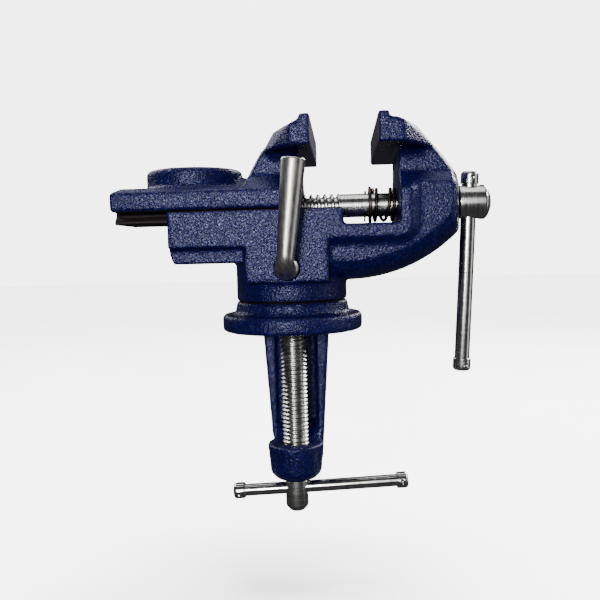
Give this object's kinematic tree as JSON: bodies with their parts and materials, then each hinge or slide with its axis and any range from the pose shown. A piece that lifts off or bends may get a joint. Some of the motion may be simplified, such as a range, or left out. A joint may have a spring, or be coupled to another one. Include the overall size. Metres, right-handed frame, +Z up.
{
  "type": "clamp-on bench vise",
  "caption": "Small bench vise with anvil, swivel base, screw-driven moving jaw on a dovetail slide, and a screw clamp for a table edge.",
  "frame": {"origin": "centre of the round base's underside, where it rests on a table", "axes": "+X towards the jaw handle along the jaw screw, -Y towards the lock lever and the clamp's open side, +Z up from the table"},
  "size_m": [0.1351, 0.0662, 0.1419],
  "materials": {
    "painted_casting": "gloss blue paint over rough cast iron, with bare machined faces",
    "plated_steel": "bright zinc plating",
    "turned_steel": "turned and threaded steel, lightly oiled",
    "spring_steel": "dark oiled spring steel"
  },
  "bodies": {
    "bracket": {"clamp_bracket": "painted_casting"},
    "body": {"vise_body": "painted_casting"},
    "slide": {"moving_jaw": "painted_casting"},
    "screw": {"jaw_screw": "turned_steel", "split_pin": "spring_steel", "thrust_washer": "spring_steel", "take_up_spring": "spring_steel"},
    "jaw_handle": {"jaw_handle_bar": "plated_steel", "jaw_handle_upper_cap": "plated_steel", "jaw_handle_lower_cap": "plated_steel"},
    "lever": {"lock_lever": "plated_steel"},
    "pad": {"pressure_pad": "plated_steel"},
    "clamp": {"clamp_screw": "turned_steel"},
    "clamp_handle": {"clamp_handle_bar": "plated_steel", "clamp_handle_left_cap": "plated_steel", "clamp_handle_right_cap": "plated_steel"}
  },
  "joints": [
    {"name": "swivel", "type": "hinge", "parent": "bracket", "child": "body", "pos_m": [0, 0, 0.011], "axis": [0, 0, 1], "continuous": true},
    {"name": "screw_turn", "type": "hinge", "parent": "body", "child": "screw", "pos_m": [0.0618, 0, 0.0448], "axis": [-1, 0, 0], "range_deg": [-3610, 3160]},
    {"name": "jaw_travel", "type": "slide", "parent": "body", "child": "slide", "axis": [1, 0, 0], "range_m": [-0.025, 0.02187]},
    {"name": "jaw_handle_slide", "type": "slide", "parent": "screw", "child": "jaw_handle", "axis": [0.0506, 0, 0.9987], "range_m": [0, 0.0504]},
    {"name": "lock_turn", "type": "hinge", "parent": "body", "child": "lever", "pos_m": [0, -0.0212, 0.0231], "axis": [0, -1, 0], "range_deg": [0, 180]},
    {"name": "clamp_travel", "type": "slide", "parent": "bracket", "child": "pad", "axis": [0, 0, -1], "range_m": [0, 0.037]},
    {"name": "clamp_turn", "type": "hinge", "parent": "pad", "child": "clamp", "pos_m": [0, 0, -0.0604], "axis": [0, 0, -1], "range_deg": [0, 8890]},
    {"name": "clamp_handle_slide", "type": "slide", "parent": "clamp", "child": "clamp_handle", "axis": [0.998, 0, 0.0628], "range_m": [-0.0322, 0.0148]}
  ],
  "couplings": [
    {"joint": "screw_turn", "follows": "jaw_travel", "rad_per_m": 2513.3},
    {"joint": "clamp_turn", "follows": "clamp_travel", "rad_per_m": 4188.8}
  ]
}
